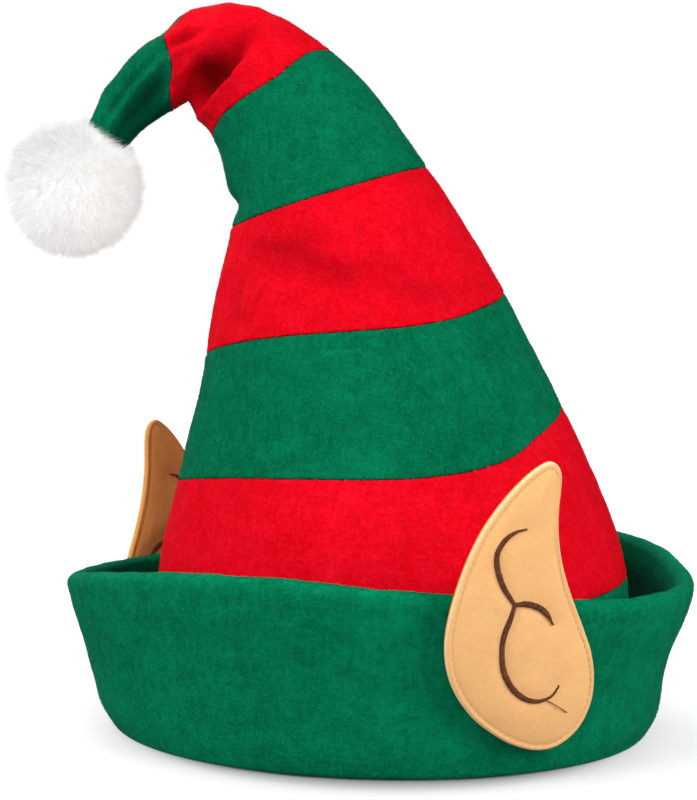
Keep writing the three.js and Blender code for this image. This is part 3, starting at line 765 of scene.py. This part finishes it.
def ear_pad(ear, material):
    name = ear[0]
    seed = 41 if name == "near_ear" else 47
    ray = OUTLINE - EAR_CENTRE
    long = np.linalg.norm(ray, axis=1, keepdims=True)
    shares = [1 - d / long for d in EAR_INSETS]
    last = shares[-1]
    shares += [last * s for s in np.linspace(0.955, 0.05, 24)]
    places = np.stack([EAR_CENTRE + ray * s for s in shares])
    inset = outline_distance(places)
    rings, middles = [], []
    for face in (1, -1):
        flat = np.concatenate([places, np.zeros_like(places[..., :1])], -1)
        uneven = 0.16 * noise(flat + 50 * face, 30, 12, seed) + 0.05 * noise(flat, 8, 4, seed + 1)
        lift = half_thickness(places, face) + uneven * smooth((inset - 2.8) / 5)
        rings.append(ear_place(ear, places, face * lift))
        middles.append(ear_place(ear, EAR_CENTRE[None], face * half_thickness(EAR_CENTRE[None], face)))
    front, back = rings
    front = front[1:]
    stack = np.concatenate([front[::-1], back])
    points = np.concatenate([stack.reshape(-1, 3), *middles])
    faces = outward(points, [ring_faces(len(stack), EAR_AROUND, False), fans(len(stack), EAR_AROUND)])
    # Paler along the very edge: a painted highlight on the ear's rounded rim.
    lip = 1 - smooth((inset - 0.1) / 0.4)
    tone = np.concatenate([lip[1:][::-1].ravel(), lip.ravel(), [0, 0]])
    # The inner face is marked for painted shade: its suede is painted a darker, redder peach.
    inner = np.concatenate([np.zeros(front.size // 3), np.ones(back.size // 3), [0, 1]])
    made = piece(name + "_pad", points, faces, material, (name,), tone, inner)
    return made


def tubes(paths, radius, sides, first_normal):
    """Many tubes of equal point counts as one mesh. paths is (tubes, points, 3)."""
    ahead = unit(np.gradient(paths, axis=1))
    a = unit(np.cross(ahead, first_normal))
    b = np.cross(ahead, a)
    angle = np.arange(sides) * 2 * math.pi / sides
    ring = a[:, :, None] * np.cos(angle)[:, None] + b[:, :, None] * np.sin(angle)[:, None]
    points = paths[:, :, None] + ring * radius
    many, long = paths.shape[:2]
    quads = ring_faces(long, sides, False)
    faces = (quads[None] + (np.arange(many) * long * sides)[:, None, None]).reshape(-1, 4)
    base = np.arange(many)[:, None] * long * sides
    side = np.arange(sides)
    caps = np.concatenate([base + side[::-1], base + (long - 1) * sides + side])
    return points.reshape(-1, 3), [faces, caps]


def threads(name, ear, paths, radius, sides, material, nodes=(), tones=None):
    """A piece of threads that run along paths on an ear, with a tone for each."""
    points, faces = tubes(paths, radius, sides, ear_frame(*ear[1:4])[3])
    tone = None if tones is None else np.repeat(tones, paths.shape[1] * sides)
    return piece(name, points, faces, material, nodes, tone)


def satin(ear, face, material, rng):
    """Satin stitches laid side by side across the embroidered lines on one face of an ear."""
    across_steps = np.linspace(-1, 1, 6)
    paths, tones = [], []
    for rows in EAR_LINES:
        place, ahead, t = line_points(rows, SATIN_PITCH)
        half = SATIN_WIDTH / 2 * (1 - 0.8 * smooth((t - 0.66) / 0.34)) * (0.72 + 0.28 * smooth(t / 0.2))
        half = half * (1 + rng.normal(0, 0.05, len(t)))
        normal = np.stack([-ahead[:, 1], ahead[:, 0]], -1)
        row = place[:, None] + normal[:, None] * (across_steps * half[:, None])[..., None]
        row = row + ahead[:, None] * (across_steps * SATIN_SLANT)[None, :, None]
        crown = np.sqrt(np.clip(1 - across_steps**2, 0, 1))
        high = STITCH_HEIGHT * (0.45 + 0.55 * half / (SATIN_WIDTH / 2))[:, None] * crown
        sink = np.where(np.abs(across_steps) > 0.99, -0.22, 0.0)
        lift = half_thickness(row, face) + 0.12 + high + sink + rng.normal(0, 0.02, len(t))[:, None]
        paths.append(ear_place(ear, row, face * lift))
        tones.append(rng.uniform(0, 1, len(t)))
    where = "outside" if face > 0 else "inside"
    return threads(f"{ear[0]}_satin_{where}", ear, np.concatenate(paths), SATIN_RADIUS, 4, material,
                   (f"{ear[0]}_stitching_{where}",), np.concatenate(tones))


def top_stitches(ear, material, rng):
    """The stitches round an ear, just inside its edge, on both faces."""
    inner = OUTLINE + unit(EAR_CENTRE - OUTLINE) * STITCH_INSET
    closed = np.concatenate([inner, inner[:1]])
    whole = lengths(closed)[-1]
    count = int(whole / TOP_STITCH_PITCH)
    starts = np.arange(count) * whole / count
    place = spaced(closed, starts[:, None] + np.linspace(0, TOP_STITCH_LENGTH, 7)[None])
    place += rng.normal(0, 0.05, (count, 1, 2))
    lift = half_thickness(place) - 0.16 + 0.24 * np.sin(np.linspace(0, math.pi, 7)) ** 0.5
    paths = np.concatenate([ear_place(ear, place, face * lift) for face in (1, -1)])
    return threads(ear[0] + "_top_stitches", ear, paths, 0.11, 5, material)


def loose_thread(ear, material):
    """The cut end of embroidery thread that lies on the near ear's outer face."""
    route = np.array([(0.172, 0.190), (0.205, 0.181), (0.243, 0.168), (0.285, 0.153), (0.320, 0.139)])
    place = rows_at(route * [EAR_WIDTH, EAR_HEIGHT], np.linspace(0, 4, 30))[None]
    lift = half_thickness(place) + 0.25 + 0.35 * np.sin(np.linspace(0, math.pi, 30)) ** 2
    return threads("near_ear_loose_thread", ear, ear_place(ear, place, lift), 0.16, 6, material, (), [0.4])


# The pompom


def fibonacci(count):
    rise = 1 - (2 * np.arange(count) + 1) / count
    flat = np.sqrt(1 - rise**2)
    turn = np.arange(count) * math.pi * (3 - math.sqrt(5))
    return np.stack([flat * np.cos(turn), flat * np.sin(turn), rise], -1)


def pompom_centre():
    centre, _, _, along, *_ = section_at(np.array([float(LAST_STATION)]))
    return centre[0] + along[0] * (POMPOM_CORE * POMPOM_RADIUS + CLEARANCE), along[0]


# Lobes and clefts of the pompom: direction, breadth in radians and change of radius as a share
LOBES = [((0.58, -0.42, 0.70), 0.20, -0.17), ((0.56, 0.0, 0.83), 0.46, -0.085),
         ((0.88, -0.30, 0.40), 0.34, 0.045), ((-0.2, -0.9, -0.45), 0.6, 0.03), ((-0.7, -0.5, 0.5), 0.5, 0.02),
         ((0.3, 0.9, 0.1), 0.5, -0.05), ((-0.3, 0.8, -0.5), 0.5, 0.03)]
# Fur: piece, fibres, seed, shortest and longest reach as shares of the radius, and width in mm
FURS = [("pompom_under_fur", 48000, 63, 0.90, 0.99, 0.17), ("pompom_long_fur", 52000, 64, 0.96, 1.06, 0.12)]
FUR_ROOT = 0.82
CLUMPS = 900
CLUMP_GATHER = (0.15, 0.55)
CLUMP_REACH = (0.945, 1.03)
# Millimetres that the fur keeps from the middle of the tip, at least, and how much further it may
FUR_PARTING = (10.3, 1.8)
# Side of the ball where the fur is painted a little greyer and glows less: painted shade
FUR_SHADE = (-0.50, 0.15, 0.83)


def pompom_reach(way):
    """The fur's outer radius in given directions."""
    share = 0.985 + 0.02 * noise(way * 30, 34, 12, 61)
    for direction, breadth, change in LOBES:
        apart = np.arccos(np.clip(way @ unit(np.array(direction)), -1, 1))
        share = share + change * bell(apart / breadth)
    return POMPOM_RADIUS * share


def pompom(material):
    centre, along = pompom_centre()
    bpy.ops.mesh.primitive_ico_sphere_add(subdivisions=5, radius=1)
    ball = bpy.context.active_object
    way = unit(np.array([v.co for v in ball.data.vertices]))
    faces = np.array([list(p.vertices) for p in ball.data.polygons])
    bpy.data.objects.remove(ball)
    bumps = 1 + 0.03 * noise(way * 30, 12, 5, 62)
    core = centre + way * (FUR_ROOT * pompom_reach(way) * bumps)[:, None]
    piece("pompom_backing", core, [faces], material, ("pompom",))
    for row in FURS:
        fur(centre, along, material, *row)


def fur(centre, along, material, name, count, seed, low, high, wide):
    """Fibres that gather in clumps, each a quad and a triangle that ends in a point."""
    rng = np.random.default_rng(seed)
    way = unit(fibonacci(count) + rng.normal(0, 0.02, (count, 3)))
    clumps = unit(fibonacci(CLUMPS) + rng.normal(0, 0.03, (CLUMPS, 3)))
    near = np.argmax(way @ clumps.T, 1)
    clump = clumps[near]
    gather = rng.uniform(*CLUMP_GATHER, CLUMPS)[near][:, None]
    top = unit(way * (1 - gather) + clump * gather)
    reach = pompom_reach(top) * rng.uniform(low, high, count) * rng.uniform(*CLUMP_REACH, CLUMPS)[near]
    tilt = unit(np.cross(top, unit(rng.normal(size=(CLUMPS, 3)))[near] + 1.5 * rng.normal(size=(count, 3))))
    down = np.array([0, 0, -1.0])
    droop = down - top * (top @ down)[:, None]
    bend = tilt * rng.uniform(0.5, 2.8, count)[:, None] + droop * 1.6
    start = centre + way * ((FUR_ROOT - 0.03) * pompom_reach(way))[:, None]
    end = centre + top * reach[:, None]
    steps = np.array([0.0, 0.6, 1.0])
    curve = np.array([0.0, 0.25, 1.0])
    paths = start[:, None] + (end - start)[:, None] * steps[:, None] + bend[:, None] * curve[:, None]
    # Fibres over the end of the tip part round it
    tip_side = paths - (centre - along * POMPOM_CORE * POMPOM_RADIUS)
    axis = tip_side @ -along
    radial = tip_side + axis[..., None] * along
    room = np.linalg.norm(radial, axis=-1)
    wanted = FUR_PARTING[0] + rng.uniform(0, FUR_PARTING[1], (count, 1))
    push = np.where((axis > -3.5) & (room < wanted), wanted - room, 0)
    paths = paths + unit(radial) * push[..., None]
    width = np.array([1.0, 0.75]) * wide / 2
    ahead = unit(np.gradient(paths, axis=1))
    face = unit(np.cross(paths - centre, ahead))
    left = paths[:, :2] + face[:, :2] * width[:, None]
    right = paths[:, :2] - face[:, :2] * width[:, None]
    points = np.concatenate([left, right, paths[:, 2:]], 1)
    base = np.arange(count)[:, None] * 5
    quads = base + [0, 1, 3, 2]
    ends = base + [1, 4, 3]
    tone = np.repeat(rng.uniform(0, 1, count), 5)
    # Painted shade: fibres towards the FUR_SHADE side get a greyer colour and less glow.
    shade = smooth((top @ unit(np.array(FUR_SHADE)) - 0.1) / 0.75)
    piece(name, points.reshape(-1, 3), [quads, ends], material, (), tone, np.repeat(shade, 5))


# Materials


class Nodes:
    """A node material with a Principled shader, and short names for what it is wired from."""

    def __init__(self, name):
        self.material = bpy.data.materials.new(name)
        self.material.use_nodes = True
        self.tree = self.material.node_tree
        self.shader = self.tree.nodes["Principled BSDF"]
        self.coords = self.add("ShaderNodeTexCoord").outputs["Object"]

    def add(self, kind, **values):
        node = self.tree.nodes.new(kind)
        for key, value in values.items():
            setattr(node, key, value)
        return node

    def link(self, a, b):
        self.tree.links.new(a, b)

    def stretched(self, scale, rotation=(0, 0, 0)):
        node = self.add("ShaderNodeMapping")
        node.inputs["Scale"].default_value = scale
        node.inputs["Rotation"].default_value = rotation
        self.link(self.coords, node.inputs["Vector"])
        return node.outputs["Vector"]

    def noise(self, scale, detail=3.0, rough=0.5, coords=None):
        node = self.add("ShaderNodeTexNoise")
        node.inputs["Scale"].default_value = scale
        node.inputs["Detail"].default_value = detail
        node.inputs["Roughness"].default_value = rough
        self.link(coords or self.coords, node.inputs["Vector"])
        return node.outputs["Fac"]

    def attribute(self, name):
        node = self.add("ShaderNodeAttribute", attribute_name=name)
        return node.outputs["Fac"]

    def sum(self, parts):
        """Weighted sum of sockets, as [(socket, weight)]."""
        total = None
        for socket, weight in parts:
            node = self.add("ShaderNodeMath", operation="MULTIPLY_ADD")
            self.link(socket, node.inputs[0])
            node.inputs[1].default_value = weight
            if total:
                self.link(total, node.inputs[2])
            else:
                node.inputs[2].default_value = 0.0
            total = node.outputs[0]
        return total

    def ramp(self, socket, stops):
        node = self.add("ShaderNodeValToRGB")
        ends = node.color_ramp.elements
        while len(ends) < len(stops):
            ends.new(0.5)
        for end, (place, colour) in zip(ends, stops):
            end.position = place
            end.color = (*colour, 1)
        self.link(socket, node.inputs["Fac"])
        return node.outputs["Color"]

    def mix(self, a, b, fac):
        """Socket a turned into colour b by a factor socket."""
        node = self.add("ShaderNodeMix", data_type="RGBA")
        self.link(a, node.inputs[6])
        node.inputs[7].default_value = (*b, 1)
        self.link(fac, node.inputs[0])
        return node.outputs[2]

    def bump(self, socket, distance, strength=1.0, before=None):
        node = self.add("ShaderNodeBump")
        node.inputs["Distance"].default_value = distance
        node.inputs["Strength"].default_value = strength
        self.link(socket, node.inputs["Height"])
        if before:
            self.link(before, node.inputs["Normal"])
        return node.outputs["Normal"]

    def finish(self, colour, normal, roughness, **inputs):
        self.link(colour, self.shader.inputs["Base Color"])
        if normal:
            self.link(normal, self.shader.inputs["Normal"])
        self.shader.inputs["Roughness"].default_value = roughness
        for key, value in inputs.items():
            self.shader.inputs[key.replace("_", " ")].default_value = value
        return self.material


def plush_material(name, sheen, dark, middle, light):
    n = Nodes(name)
    brushed = n.noise(26, 4, 0.6, n.stretched((1, 1, 0.6)))
    patches = n.noise(120, 4, 0.65)
    one_way = n.noise(480, 2, 0.6, n.stretched((1, 1, 0.25), (0.2, 0.5, 0)))
    other_way = n.noise(480, 2, 0.6, n.stretched((0.25, 1, 1), (0.1, -0.5, 0)))
    nap = n.noise(1300, 2, 0.6)
    tone = n.sum([(brushed, 0.24), (patches, 0.20), (one_way, 0.20), (other_way, 0.16), (nap, 0.20)])
    colour = n.ramp(tone, [(0.41, dark), (0.50, middle), (0.59, light)])
    # Painted shade: the cloth is painted darker in the fold, the creases, under the tip and inside the cuff.
    colour = n.mix(colour, tuple(0.22 * c for c in dark), n.attribute("painted_shade"))
    normal = n.bump(n.noise(1000, 4, 0.7), 0.0006, 0.7)
    normal = n.bump(patches, 0.0014, 0.45, normal)
    return n.finish(colour, normal, 0.88, Specular_IOR_Level=0.015, Sheen_Weight=0.05, Sheen_Roughness=0.45,
                    Sheen_Tint=(*sheen, 1))


def pile_material(name, dark, light):
    n = Nodes(name)
    tone = n.sum([(n.noise(120, 4, 0.65), 0.5), (n.attribute("tone"), 0.5)])
    colour = n.ramp(tone, [(0.25, dark), (0.75, light)])
    # Painted shade: the fibres are painted darker where the cloth under them is.
    colour = n.mix(colour, tuple(0.3 * c for c in dark), n.attribute("painted_shade"))
    normal = n.bump(n.noise(2500, 2, 0.5), 0.0001, 0.3)
    return n.finish(colour, normal, 0.85, Specular_IOR_Level=0.03)


SUEDE_TONES = [(0.36, (0.70, 0.368, 0.137)), (0.50, (0.735, 0.396, 0.154)), (0.64, (0.765, 0.430, 0.176))]


def suede_material():
    n = Nodes("peach_suede")
    grain = n.noise(700, 4, 0.6)
    fine = n.noise(2200, 2, 0.6)
    tone = n.sum([(n.noise(55, 3, 0.55), 0.45), (grain, 0.35), (fine, 0.20)])
    colour = n.ramp(tone, SUEDE_TONES)
    # Painted highlight: paler peach along the ears' edges.
    colour = n.mix(colour, (0.72, 0.55, 0.32), n.attribute("tone"))
    # Painted shade: the ears' inner faces are painted darker and redder.
    colour = n.mix(colour, (0.60, 0.245, 0.062), n.attribute("painted_shade"))
    normal = n.bump(grain, 0.0004, 0.5)
    normal = n.bump(fine, 0.0002, 0.6, normal)
    return n.finish(colour, normal, 0.82, Specular_IOR_Level=0.2, Sheen_Weight=0.15, Sheen_Roughness=0.5,
                    Sheen_Tint=(1.0, 0.85, 0.7, 1))


def thread_material(name, dark, light):
    n = Nodes(name)
    tone = n.sum([(n.attribute("tone"), 0.55), (n.noise(900, 3, 0.6), 0.45)])
    colour = n.ramp(tone, [(0.15, dark), (0.85, light)])
    twist = n.noise(3000, 2, 0.5, n.stretched((1, 1, 0.4), (0.6, 0.3, 0)))
    normal = n.bump(twist, 0.0001, 0.5)
    return n.finish(colour, normal, 0.42, Specular_IOR_Level=0.22)


def stitch_material():
    n = Nodes("peach_thread")
    tone = n.sum([(n.noise(800, 3, 0.6), 1.0)])
    colour = n.ramp(tone, [(0.3, (0.44, 0.275, 0.115)), (0.7, (0.56, 0.35, 0.15))])
    normal = n.bump(n.noise(3500, 2, 0.5), 0.0001, 0.5)
    return n.finish(colour, normal, 0.6, Specular_IOR_Level=0.3)


def fur_material(name, dark, light):
    n = Nodes(name)
    tone = n.sum([(n.noise(260, 3, 0.6), 0.6), (n.attribute("tone"), 0.4)])
    colour = n.ramp(tone, [(0.25, dark), (0.7, light)])
    # Painted shade: the fur is painted greyer on one side of the ball.
    colour = n.mix(colour, (0.50, 0.50, 0.495), n.attribute("painted_shade"))
    # The fur glows: painted light standing in for light scattered through white fur, a little less on its
    # painted shade side.
    glow = n.ramp(n.attribute("painted_shade"), [(0.0, (1.0, 0.985, 0.97)), (1.0, (0.90, 0.89, 0.885))])
    n.link(glow, n.shader.inputs["Emission Color"])
    normal = n.bump(n.noise(4000, 2, 0.5), 0.0001, 0.3)
    return n.finish(colour, normal, 0.7, Specular_IOR_Level=0.2, Sheen_Weight=0.3, Sheen_Roughness=0.4,
                    Emission_Strength=0.325)


GREEN_SHEEN = (0.005, 0.80, 0.45)
RED_SHEEN = (1.0, 0.02, 0.06)
green_plush = plush_material(
    "green_plush", GREEN_SHEEN, (0.0002, 0.070, 0.028), (0.0004, 0.102, 0.0435), (0.0008, 0.142, 0.064))
# The cuff's green is a lighter copy of the cone's: painted light, since the lamps light the cuff less than
# the cone.
cuff_green_painted_lighter = plush_material(
    "cuff_green_plush_painted_lighter", GREEN_SHEEN, (0.0003, 0.092, 0.038), (0.0005, 0.136, 0.058), (0.0010, 0.182, 0.083))
red_plush = plush_material(
    "red_plush", RED_SHEEN, (0.47, 0.0004, 0.0040), (0.56, 0.0008, 0.0070), (0.65, 0.003, 0.014))
green_pile = pile_material("green_pile", (0.0003, 0.085, 0.036), (0.0010, 0.172, 0.083))
# The cuff's pile is likewise a lighter copy of the cone's: painted light.
cuff_pile_painted_lighter = pile_material("cuff_green_pile_painted_lighter", (0.0003, 0.108, 0.046), (0.0012, 0.210, 0.102))
red_pile = pile_material("red_pile", (0.52, 0.0008, 0.0072), (0.67, 0.006, 0.021))
suede = suede_material()
brown_thread = thread_material("brown_thread", (0.034, 0.007, 0.002), (0.165, 0.042, 0.012))
peach_thread = stitch_material()
white_fur = fur_material("white_fur", (0.53, 0.525, 0.515), (0.59, 0.59, 0.585))
PLUSH_OF = {"green": green_plush, "red": red_plush}

# The hat

bands = [stripe(*row, PLUSH_OF[row[4]]) for row in STRIPES]
tip_cloth = tip(green_plush)
for shade in ("green", "red"):
    allowances(shade, PLUSH_OF[shade])
cuff_cloth = cuff(cuff_green_painted_lighter)

for where, count, nap, seed in (
        ("green_cone", 46000, green_pile, 81), ("red_cone", 64000, red_pile, 82),
        ("green_cuff", 84000, cuff_pile_painted_lighter, 83)):
    pile(where + "_pile", NAPPED[where], count, nap, seed)

random = np.random.default_rng(71)
for ear in EARS:
    ear_pad(ear, suede)
    for face in (1, -1):
        satin(ear, face, brown_thread, random)
    top_stitches(ear, peach_thread, random)
loose_thread(EARS[0], brown_thread)
pompom(white_fur)

# Floor, light and camera

FLOOR_RADIUS = 12.0
FLOOR_TONES = [(0.3, (0.24, 0.24, 0.243)), (0.7, (0.26, 0.26, 0.263))]
# The floor's own glow, which keeps it white away from the hat and fades out near its foot, leaving a painted
# shadow there over the lamps' real one: metres from the middle of the foot, and strength. Metres from left to
# right count for more, so that the painted shadow is an oval.
GLOW = [(0.106, 0.0), (0.116, 0.28), (0.123, 0.53), (0.130, 0.61), (0.142, 0.68), (0.17, 0.76), (0.26, 1.0)]
GLOW_ACROSS = 1.25


def floor_material():
    n = Nodes("pale_floor")
    tone = n.ramp(n.noise(3, 2, 0.5), FLOOR_TONES)
    from_foot = n.add("ShaderNodeVectorMath", operation="MULTIPLY_ADD")
    n.link(n.coords, from_foot.inputs[0])
    from_foot.inputs[1].default_value = (GLOW_ACROSS, 1.0, 1.0)
    from_foot.inputs[2].default_value = (-GLOW_ACROSS * SHIFT[0] / 1000, -SHIFT[1] / 1000, 0)
    away = n.add("ShaderNodeVectorMath", operation="LENGTH")
    n.link(from_foot.outputs[0], away.inputs[0])
    # Less glow near the hat: a painted shadow round its foot, over the lamps' real shadow.
    glow = n.ramp(away.outputs["Value"], [(place, (level,) * 3) for place, level in GLOW])
    n.link(glow, n.shader.inputs["Emission Color"])
    return n.finish(tone, None, 0.9, Specular_IOR_Level=0.1, Emission_Strength=1.0)


bpy.ops.mesh.primitive_circle_add(vertices=128, radius=FLOOR_RADIUS, fill_type="NGON")
floor = bpy.context.active_object
floor.name = "floor"
floor.data.materials.append(floor_material())
floor.visible_diffuse = False

bpy.ops.mesh.primitive_uv_sphere_add(segments=48, ring_count=24, radius=FLOOR_RADIUS)
backdrop = bpy.context.active_object
backdrop.name = "backdrop"
back_nodes = Nodes("white_backdrop")
back_nodes.shader.inputs["Base Color"].default_value = (0, 0, 0, 1)
back_nodes.shader.inputs["Emission Color"].default_value = (1, 1, 1, 1)
back_nodes.shader.inputs["Emission Strength"].default_value = 1.0
backdrop.data.materials.append(back_nodes.material)
for ray in ("diffuse", "glossy", "transmission", "shadow"):
    setattr(backdrop, "visible_" + ray, False)

world = bpy.data.worlds.new("studio")
world.use_nodes = True
sky = world.node_tree.nodes["Background"]
sky.inputs["Color"].default_value = (1.0, 1.0, 1.0, 1)
sky.inputs["Strength"].default_value = 0.26
bpy.context.scene.world = world


def stand(name, data, side, up, behind, place):
    """Puts a light or the camera at a place, with its own axes turned to the given directions."""
    made = bpy.data.objects.new(name, data)
    bpy.context.scene.collection.objects.link(made)
    made.matrix_world = Matrix([[side[i], up[i], behind[i], place[i]] for i in range(3)] + [[0, 0, 0, 1]])
    return made


# Square softboxes: name, place, height aimed at, size and power
SOFTBOXES = [
    ("right", (1.49, -0.86, 0.90), 0.12, 1.1, 38),
    ("left", (-1.30, -0.93, 1.00), 0.12, 1.4, 37),
    ("front", (-0.15, -1.85, 0.45), 0.12, 0.8, 11),
    ("top", (-0.4, -0.35, 1.90), 0.12, 0.9, 8),
    ("back", (-0.6, 1.4, 1.2), 0.15, 0.8, 18),
]
for name, place, aim, size, power in SOFTBOXES:
    light = bpy.data.lights.new(name, "AREA")
    light.shape = "SQUARE"
    light.size = size
    light.energy = power
    way = unit(np.array([0, 0, aim]) - np.array(place))
    side = unit(np.cross(way, (0, 0, 1)))
    stand(name, light, side, np.cross(side, way), -way, place)

# Camera: distance, height angle, roll and lens that fit the photo
CAMERA_DISTANCE = 1.100
CAMERA_ELEVATION = math.radians(4.9)
CAMERA_ROLL = math.radians(1.1)
LENS = 129.2
TARGET = np.array([-0.0142 + SHIFT[0] / 1000, SHIFT[1] / 1000, 0.125])
back = np.array([0, -math.cos(CAMERA_ELEVATION), math.sin(CAMERA_ELEVATION)])
eye = TARGET + back * CAMERA_DISTANCE
level = np.array([1.0, 0, 0])
over = np.cross(level, -back)
right = level * math.cos(CAMERA_ROLL) + over * math.sin(CAMERA_ROLL)
above = np.cross(right, -back)
camera_data = bpy.data.cameras.new("camera")
camera_data.lens = LENS
camera_data.sensor_width = 36
camera_data.clip_end = 60
bpy.context.scene.camera = stand("camera", camera_data, right, above, back, eye)
bpy.context.scene.view_settings.view_transform = "Standard"
bpy.context.scene.view_settings.look = "None"
